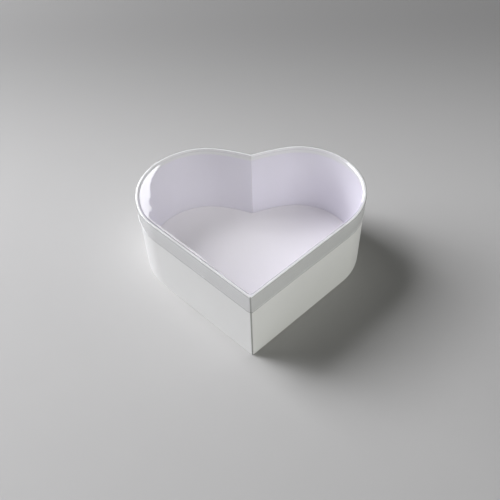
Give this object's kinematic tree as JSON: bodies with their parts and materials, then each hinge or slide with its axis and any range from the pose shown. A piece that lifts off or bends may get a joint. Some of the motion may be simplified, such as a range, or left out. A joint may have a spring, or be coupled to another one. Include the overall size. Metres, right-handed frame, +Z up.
{
  "type": "heart gift box with clear lid",
  "caption": "Heart-shaped white board gift box, an open tray with a pale lined inside under a clear formed lid that lifts straight off.",
  "frame": {"origin": "Middle of the whole box, lid lip included, on the flat underside that it stands on.", "axes": "+Z up, the way the lid lifts; +X across the two lobes; +Y from the heart's tip towards the notch between the lobes."},
  "size_m": [0.2224, 0.1961, 0.0864],
  "materials": {
    "white_paper": "smooth white wrapping paper with a faint pearl sheen",
    "bottom_paper": "matt white paper",
    "lining_paper": "matt pale lavender paper",
    "floor_card": "matt pale lavender-white card",
    "grey_board": "raw grey board",
    "kraft_tape": "brown kraft paper tape",
    "clear_sheet": "clear glossy formed sheet"
  },
  "bodies": {
    "tray": {"bottom_sheet": "bottom_paper", "base_board": "grey_board", "left_wall_board": "grey_board", "right_wall_board": "grey_board", "tip_stay_tape": "kraft_tape", "notch_stay_tape": "kraft_tape", "left_outer_wrap": "white_paper", "right_outer_wrap": "white_paper", "left_lining": "lining_paper", "right_lining": "lining_paper", "floor_pad": "floor_card"},
    "lid": {"clear_lid": "clear_sheet"}
  },
  "joints": [
    {"name": "lid_lift", "type": "slide", "parent": "tray", "child": "lid", "axis": [0, 0, 1], "range_m": [0, 0.08]}
  ]
}
